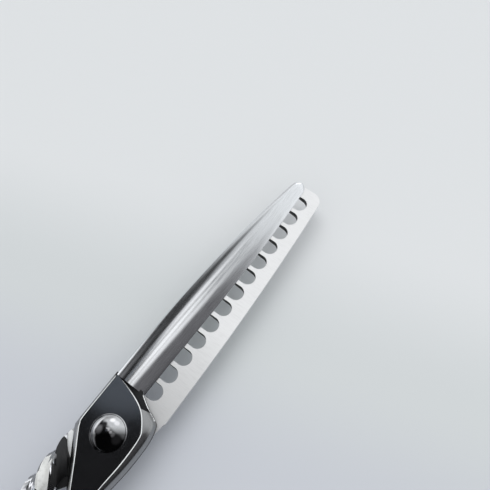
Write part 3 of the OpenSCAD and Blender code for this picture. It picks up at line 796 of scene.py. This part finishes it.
# %% Weld, clear and bore the straight half
tang_gap = 0.3
front_sweep_r = 8.75
front_start_x = -7.5
front_stub = bar("front_stub", shank_start_x, -weld_back, 1, thumb_ring_x, front_start_x)
cut(front_stub, cylinder("sweep", 0, 0, -1, seam_z, front_sweep_r))
cut(front_stub, prism("clear", grown(comb_foot, tang_gap), tang_low_z - 1, seam_z))
weld(straight_half, front_stub)
bush_r = node_box("pivot_bush")[1][0]
seat_low_z = node_box("bearing_race")[0][2]
seat_r = node_box("bearing_race")[1][0]
cut(straight_half, cylinder("bore", 0, 0, 0, 20, bush_r))
cut(straight_half, cylinder("seat", 0, 0, seat_low_z, 20, seat_r))
print("bored", round(2 * float(bush_r), 2), "mm for the bush")

# %% [markdown]
# ## Finishes and painted light on the straight half
# One forging carries several finishes, and some painted light. The facet of the tang is a mirror,
# its bevel is duller and painted darker as a dim reflection, the ridge between them and the neck's
# bevel get a painted highlight, and the scooped neck and the upright rim get painted shade, near
# black. A test of each face's middle and direction tells which is which.

# %% Paints of the straight half
FACES_UP = 0.9
IS_WALL = 0.2
tang_from_x = heel_x - 0.01
ridge_drop = 0.06
scoop_x, scoop_y = 6.6, -4.6


# Painted shade: the floor and wall of the scooped neck are painted near black
def in_scoop(p, n):
    if not (scoop_x < p.x < tang_from_x and p.y > scoop_y):
        return False
    on_floor = n.z > FACES_UP and p.z < seam_z + neck_t + 0.01
    on_wall = abs(n.z) < IS_WALL and p.z > seam_z + neck_t + 0.05
    return on_floor or on_wall


# Painted highlight: the bevel along the neck is painted matt white
def on_neck_bevel(p, n):
    return (scoop_x - 0.1 < p.x < heel_x + 0.1 and p.y < 0 and IS_WALL < n.z < 0.95
            and 0 < seam_z + neck_t - p.z < neck_bevel)


def on_tang(p, n):
    return p.x < tang_from_x


# Painted dim reflection: the tang's bevel gets the darker steel
def on_tang_bevel(p, n):
    return (p.x < tang_from_x and 0.1 < n.z < 0.97
            and seam_z + tang_rim_h < p.z < tang_top_z - ridge_drop)


# Painted highlight: a matt white strip along the tang's ridge
def on_tang_ridge(p, n):
    return tang_top_z - ridge_drop < p.z < tang_top_z - 0.001


# Painted shade: the upright rim of the tang is painted near black
def on_tang_rim(p, n):
    return -weld_back < p.x < tang_from_x and abs(n.z) < 0.1 and p.z < seam_z + tang_rim_h


finish_piece(straight_half, "thumb_half", blade_polish, ["straight_blade"],
             paints=[(tang_mirror, on_tang), (painted_dim_reflection, on_tang_bevel),
                     (wear_and_painted_highlight, on_tang_ridge), (painted_shade_black, in_scoop),
                     (wear_and_painted_highlight, on_neck_bevel), (painted_shade_black, on_tang_rim)])

# %% [markdown]
# ## The toothed blade
# A flat comb with 13 U-shaped notches. It is made as one ground blade, and the notches are
# cut afterwards, as in the workshop. Each cutter has a slight flare at the ride plane, so
# the rims of the notches get the small chamfer that shows as a fine line.

# %% Sizes of the toothed blade
notch_n = 13
notch_pitch = 4.5
notch_w = 3.51
notch_first_x = 11.22
notch_root_y = 4.21
notch_root_rise = 0.85
tooth_tip_y = 1.3
tooth_groove_w = 0.5
comb_spine_y = -node_box("toothed_blade")[0][1]
comb_spine_fall = 2.0
comb_t_heel = 2.3
comb_t_tip = 1.75
comb_corner_r = 2.4
comb_lip = 0.04
comb_start_x = 7.4
comb_end_x = node_box("toothed_blade")[1][0]
notch_r = notch_w / 2
notch_mid_x = notch_first_x + notch_pitch * (notch_n - 1) / 2
print("toothed blade:", notch_n, "notches over", notch_n * notch_pitch, "mm")


# %% Toothed blade, section by section
def comb_spine(x):
    share = max(0.0, x - spine_bend_x) / (tip_x - spine_bend_x)
    return -comb_spine_y + comb_spine_fall * share ** 2


def notch_y(x):
    """Middle of a notch's round end: the notches in the middle reach a little deeper."""
    off = (x - notch_mid_x) / (notch_mid_x - notch_first_x)
    return -notch_root_y + notch_r + notch_root_rise * off ** 2


comb_profile = through([(0, 0.04), (0.0125, 0.55), (0.06, 0.85), (0.28, 1.0), (0.5, 0.95),
                        (0.75, 0.72), (1.0, 0.35)], 5)


def comb_section(x):
    into_tip = max(0.0, x - (comb_end_x - comb_corner_r)) / comb_corner_r
    rounding = 1 - math.sqrt(max(0.0, 1 - into_tip ** 2))
    y0 = comb_spine(x) + comb_corner_r * rounding
    t = comb_t_heel + (comb_t_tip - comb_t_heel) * along(x)
    wide = tooth_tip_y - y0
    top = [(x, tooth_tip_y, seam_z), (x, y0 + comb_lip, seam_z)]
    return top + [(x, y0 + wide * u, seam_z - t * v) for u, v in comb_profile]


comb_stations = list(np.linspace(comb_start_x, comb_end_x - comb_corner_r, 90))
comb_stations += [comb_end_x - comb_corner_r + comb_corner_r * math.sin(math.radians(a))
                  for a in np.linspace(5, 90, 18)]
toothed_half = skin("toothed_half", [comb_section(x) for x in comb_stations])

# %% Weld on the tang and the shank
back_sweep_r = 8.6
weld(toothed_half, tang("back_tang", comb_foot, hull(comb_facet), -1))
back_stub = bar("back_stub", shank_start_x, -weld_back, -1, finger_ring_x, shank_start_x)
cut(back_stub, cylinder("sweep", 0, 0, seam_z, 20, back_sweep_r))
cut(back_stub, prism("clear", grown(foot, tang_gap), seam_z, 20))
weld(toothed_half, back_stub)
# The first ridge of the twist would stand out beside the tang, so its start is ground off
first_ridge = prism("first_ridge", [(-2.4, 6.95), (-2.4, 9), (-7.4, 9), (-7.4, 7.45)], 0, 20)
cut(toothed_half, first_ridge)
print("toothed half before the notches:", len(toothed_half.data.polygons), "faces")


# %% Cut the notches, the relief grooves and the pivot hole
def notch_ring(x, radius, top):
    """A U, round at its closed end, at one height."""
    y = notch_y(x)
    ring = [(x + radius * math.cos(a), y + radius * math.sin(a), top)
            for a in np.linspace(math.pi, 2 * math.pi, 33)]
    return ring + [(x + radius, y + 10, top), (x - radius, y + 10, top)]


CHAMFER = 0.05
cut_low, cut_high = seam_z - 5, seam_z + 1
for i in range(notch_n):
    x, wide_r = notch_first_x + i * notch_pitch, notch_r + CHAMFER
    rows = [notch_ring(x, notch_r, cut_low), notch_ring(x, notch_r, seam_z - CHAMFER),
            notch_ring(x, wide_r, seam_z), notch_ring(x, wide_r, cut_high)]
    cut(toothed_half, skin("notch", rows))
for i in range(notch_n - 1):
    x, g = notch_first_x + (i + 0.5) * notch_pitch, tooth_groove_w / math.sqrt(2)
    groove = prism("groove", [(x - g, tooth_tip_y), (x, tooth_tip_y - g), (x + g, tooth_tip_y),
                              (x, tooth_tip_y + g)], cut_low, cut_high)
    cut(toothed_half, groove)
bolt_r = 1.75
bolt_key = 1.35
slip = 0.05
cut(toothed_half, cylinder("key", 0, 0, 0, 20, bolt_r + slip, key=bolt_key))
glide_low, glide_high = node_box("glide_washer")
cut(toothed_half, cylinder("recess", 0, 0, glide_low[2], 20, glide_high[0] + slip))
print("toothed half with its notches:", len(toothed_half.data.polygons), "faces")

# %% [markdown]
# ## Finishes and painted light on the toothed half
# The first flute beside the tang gets a painted dark reflection and the next one a painted bright
# reflection, for a dark and a bright part of a room that a plain studio lacks, and the flute sides
# facing +Y get the darker steel of a painted dim reflection. The walls of the notches get painted
# shade, near black. Beside the tang the ride plane is worn bright, with a painted highlight, and
# further back the other half's shadow is painted on it, near black.

# %% Paints of the toothed half
ride_x = -3.9
shadow_x = -10.2
above_seam_z = seam_z + 0.1
first_flute_x = (-13.0, -5.6)
second_flute_x = (-15.0, -8.7)
flute_ridge = 12.9
second_ridge = 16.6
ridge_top = (11.9, 13.2)
ridge_top_x = -9.9
notch_wall_y = (-notch_root_y - 0.5, 1.2)


def across_flutes(p):
    """Grows from the tang's flank towards the outer side of the shank, across its flutes."""
    return p.y - 0.79 * p.x


# Painted dark reflection: the first flute beside the tang and its ridge are painted near black
def in_first_flute(p, n):
    if not (first_flute_x[0] < p.x < first_flute_x[1] and p.z > above_seam_z):
        return False
    if p.x < ridge_top_x and ridge_top[0] < across_flutes(p) < ridge_top[1] and n.x < 0.2:
        return True
    faces_tips = n.x > 0.15 or n.y < -0.2
    return faces_tips and (across_flutes(p) < flute_ridge or p.x > second_flute_x[1])


# Painted bright reflection: the second flute is painted pale
def in_second_flute(p, n):
    return (second_flute_x[0] < p.x < second_flute_x[1] and p.z > above_seam_z
            and flute_ridge < across_flutes(p) < second_ridge
            and n.x > -0.2 and 0 < n.z and n.y < 0.58)


# Painted dim reflection: the flute sides that face +Y get the darker steel
def on_flute_side(p, n):
    return second_flute_x[0] < p.x < ride_x and p.z > above_seam_z and n.y > 0.58


def on_shank(p, n):
    return p.x < ride_x and (p.z > seam_z + 0.01 or p.y > 6.6)


# Painted shade: the walls of the notches are painted near black
def in_notch(p, n):
    return p.x > heel_x and abs(n.z) < IS_WALL and notch_wall_y[0] < p.y < notch_wall_y[1]


def on_ride(p, n):
    return n.z > FACES_UP and abs(p.z - seam_z) < 0.02


# Worn bright, with a painted highlight: the ride plane beside the tang is painted matt white
def on_worn_lit_ride(p, n):
    return on_ride(p, n) and shadow_x < p.x < ride_x


# Painted shadow: where the straight half shades the ride plane, it is painted near black
def on_dark_ride(p, n):
    return on_ride(p, n) and p.x < shadow_x


finish_piece(toothed_half, "finger_half", comb_satin, ["toothed_blade"],
             paints=[(painted_shade_black, in_notch), (handle_bright, on_shank),
                     (wear_and_painted_highlight, on_worn_lit_ride), (painted_shade_black, on_dark_ride),
                     (painted_dim_reflection, on_flute_side), (painted_shade_black, in_first_flute),
                     (painted_bright_reflection, in_second_flute)], cuts=(shadow_x, ride_x))

# %% [markdown]
# ## Handles
# Each handle is a twisted shank that forks into an oval-section ring. The ring and the
# fork are melted into one soft form with a fine remesh, and the crisp shank is welded on.

# %% Rings
RING_STEPS = 120
SECTION_STEPS = 28


def oval(turn, wide, high):
    """Point of a rounded box: the power makes the sides fuller than an ellipse's."""
    c, s = math.cos(turn), math.sin(turn)
    return (wide * math.copysign(abs(c) ** 0.75, c), high * math.copysign(abs(s) ** 0.75, s))


def ring_mesh(name, x, y):
    rows = []
    section = [oval(2 * math.pi * (k + 0.5) / SECTION_STEPS, ring_w / 2, ring_h / 2)
               for k in range(SECTION_STEPS)]
    for i in range(RING_STEPS):
        a = 2 * math.pi * i / RING_STEPS
        rows.append([(x + (ring_mid_r + r) * math.cos(a), y + (ring_mid_r + r) * math.sin(a),
                      ring_h / 2 + z) for r, z in section])
    faces = []
    for j in range(RING_STEPS):
        here, there = j * SECTION_STEPS, (j + 1) % RING_STEPS * SECTION_STEPS
        for k in range(SECTION_STEPS):
            after = (k + 1) % SECTION_STEPS
            faces.append([here + k, there + k, there + after, here + after])
    return face_outwards(make_object(name, np.vstack([np.array(r) for r in rows]), faces))


# %% Forks
def ball(name, place, radius):
    mesh = bpy.data.meshes.new(name)
    work = bmesh.new()
    bmesh.ops.create_icosphere(work, subdivisions=4, radius=radius * MM)
    work.to_mesh(mesh)
    work.free()
    mesh.transform(Matrix.Translation(Vector(place) * MM))
    return add_object(name, mesh)


def rod(name, direction, ends, sides):
    """A round rod between two circles across its direction. An end is a place and a radius."""
    turn = direction.to_track_quat("Z", "Y").to_matrix()
    rows = [[tuple(place + turn @ Vector((r * math.cos(a), r * math.sin(a), 0)))
             for a in np.linspace(0, 2 * math.pi, sides, endpoint=False)] for place, r in ends]
    return skin(name, rows)


def strut(name, start, r0, end, r1):
    """A rod from one place to another, with ball ends."""
    start, end = Vector(start), Vector(end)
    made = rod(name, end - start, ((start, r0), (end, r1)), 32)
    weld(made, ball("end", start, r0))
    return weld(made, ball("end", end, r1))


def melt(made, voxel, passes):
    """Makes one soft skin of welded forms: a remesh, and then some passes of smoothing."""
    made.data.remesh_voxel_size = voxel * MM
    with bpy.context.temp_override(active_object=made, object=made, selected_objects=[made]):
        bpy.ops.object.voxel_remesh()
    work = bmesh.new()
    work.from_mesh(made.data)
    for _ in range(passes):
        bmesh.ops.smooth_vert(work, verts=work.verts, factor=0.5, use_axis_x=True,
                              use_axis_y=True, use_axis_z=True)
    work.to_mesh(made.data)
    work.free()


# %% Handle maker
fork_len = 9
fork_spread = 27
fork_inset = 0.15


def handle(name, side, ring_x):
    fork_x = join_x(ring_x) + fork_len
    made = ring_mesh(name, -ring_x, grip_y(side, ring_y))
    for spread in (-fork_spread, fork_spread):
        turn = math.radians(side * (join_angle + spread))
        reach = (-ring_x + ring_mid_r * math.cos(turn),
                 grip_y(side, ring_y) + ring_mid_r * math.sin(turn), ring_h / 2)
        fork = (fork_x, grip_y(side, bar_y(fork_x, ring_x)), bar_z(fork_x, ring_x))
        weld(made, strut("fork", fork, shank_flute_r, reach, ring_w / 2 - fork_inset))
    return made


insert_seat_r = ring_r + slip
finger_handle = handle("finger_handle_piece", -1, finger_ring_x)
thumb_handle = handle("thumb_handle_piece", 1, thumb_ring_x)
print("forked:", finger_handle.name, "and", thumb_handle.name)

# %% [markdown]
# ## Bosses, seats and welds
# The finger rest screws onto a short tapered boss on the finger ring, and the rubber bumper
# sits on a flat boss on the thumb ring. Both bosses are melted in with the forks, and the
# seats and holes are cut afterwards, so that they stay crisp.

# %% Bosses
rest_angle = math.radians(150)
rest_boss_len = 1.2
rest_r = 2.3
ring_out_r = ring_r + ring_w
rest_dir = Vector((math.cos(rest_angle), math.sin(rest_angle), 0))
rest_seat = Vector((-finger_ring_x, finger_ring_y, ring_h / 2))
rest_seat = rest_seat + rest_dir * (ring_out_r + rest_boss_len)


def cone(name, base, direction, length, r0, r1):
    """A rod from base along direction, r0 at its start and r1 at its end."""
    return rod(name, direction, ((base, r0), (base + direction * length, r1)), 64)


boss_len = rest_boss_len + 1.5
weld(finger_handle, cone("boss", rest_seat - rest_dir * boss_len, rest_dir, boss_len,
                         ring_h / 2 - 0.2, rest_r + 0.3))
bumper_low, bumper_high = node_box("bumper")
bumper_h = 1.4
bumper_boss_r = 2.4
bumper_x = (bumper_low[0] + bumper_high[0]) / 2
bumper_seat_y = bumper_high[1] - bumper_h
into_ring = Vector((0, -1, 0))
weld(thumb_handle, cone("boss", Vector((bumper_x, bumper_seat_y, ring_h / 2)), into_ring, 3,
                        bumper_boss_r, bumper_boss_r))
print("finger rest's seat at", [round(v, 1) for v in rest_seat], "mm")

# %% Melt, weld and drill
melt_voxel = 0.28
melt_passes = 5
stud_r = 1.2
stem_r = 1.0
handle_sharp_deg = 28
for made, side, ring_x in ((finger_handle, -1, finger_ring_x), (thumb_handle, 1, thumb_ring_x)):
    melt(made, melt_voxel, melt_passes)
    weld(made, bar("shank", -weld_back, join_x(ring_x) + 2, side, ring_x, front_start_x))
    cut(made, cylinder("insert_seat", -ring_x, grip_y(side, ring_y), -1, 20, insert_seat_r,
                       sides=160))
cut(finger_handle, cone("stud_hole", rest_seat + rest_dir, -rest_dir, 4, stud_r, stud_r))
cut(thumb_handle, cone("stem_hole", Vector((bumper_x, bumper_seat_y + 1, ring_h / 2)),
                       into_ring, 4, stem_r, stem_r))
finish_piece(finger_handle, "finger_half", handle_bright, ["finger_handle"],
             sharp_deg=handle_sharp_deg)
finish_piece(thumb_handle, "thumb_half", handle_bright, ["thumb_handle"],
             sharp_deg=handle_sharp_deg)

# %% [markdown]
# ## Finger rest
# A bent, tapering rod with a rounded end, which the little finger lies on. It is a row of
# round sections along an arc: they shrink towards the end, and grow taller than wide.

# %% Finger rest
rest_len = 21.0
rest_curve_r = 17.0
rest_end_r = 1.6
rest_round_from = 0.9
rest_taller = 0.35
rest_turn = Matrix.Rotation(rest_angle, 3, "Z")


def rest_row(t):
    turn = rest_len * t / rest_curve_r
    r = rest_r + (rest_end_r - rest_r) * t
    if t >= rest_round_from:
        r *= math.sqrt(max(0.0004, 1 - ((t - rest_round_from) / 0.1) ** 2))
    tall = 1 + rest_taller * ease((t - 0.25) / 0.5)
    row = []
    for a in np.linspace(0, 2 * math.pi, 40, endpoint=False):
        out, up = r * math.cos(a), r * tall * math.sin(a)
        local = Vector((rest_curve_r * math.sin(turn) + out * math.sin(turn),
                        -rest_curve_r * (1 - math.cos(turn)) + out * math.cos(turn), up))
        row.append(tuple(rest_seat + rest_turn @ local))
    return row


rest_steps = list(np.linspace(0, rest_round_from, 46))
rest_steps += [rest_round_from + 0.1 * math.sin(math.radians(a)) for a in np.linspace(6, 90, 14)]
finger_rest = skin("finger_rest_piece", [rest_row(t) for t in rest_steps])
cut(finger_rest, cone("stud_hole", rest_seat - rest_dir, rest_dir, 4, stud_r, stud_r))
finish_piece(finger_rest, "finger_half", handle_bright, ["finger_rest"],
             sharp_deg=handle_sharp_deg)

# %% [markdown]
# ## Finishes for the solids that stay
# The pivot and the small pieces keep their own solids, whose shapes are right already. They
# only need a finish, which takes the place of the plain one that the frame gives them.

# %% Dress the small pieces
small_finishes = {
    "pivot_bolt": dome_mirror, "head_rim_ring": dome_mirror, "pivot_bush": bush_bronze,
    "bearing_race": spring_grey, "ball_cage": bush_bronze, "bearing_balls": tang_mirror,
    "glide_washer": glide_white, "spring_washer": spring_grey, "click_plate": spring_grey,
    "tension_dial": handle_bright, "dial_nut": bush_bronze, "finger_rest_stud": spring_grey,
    "bumper": black_rubber, "finger_ring_insert": black_rubber,
    "thumb_ring_insert": black_rubber,
}
for name, material in small_finishes.items():
    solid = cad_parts[name]
    solid.data.materials.clear()
    solid.data.materials.append(material)
print("dressed", len(small_finishes), "solids")
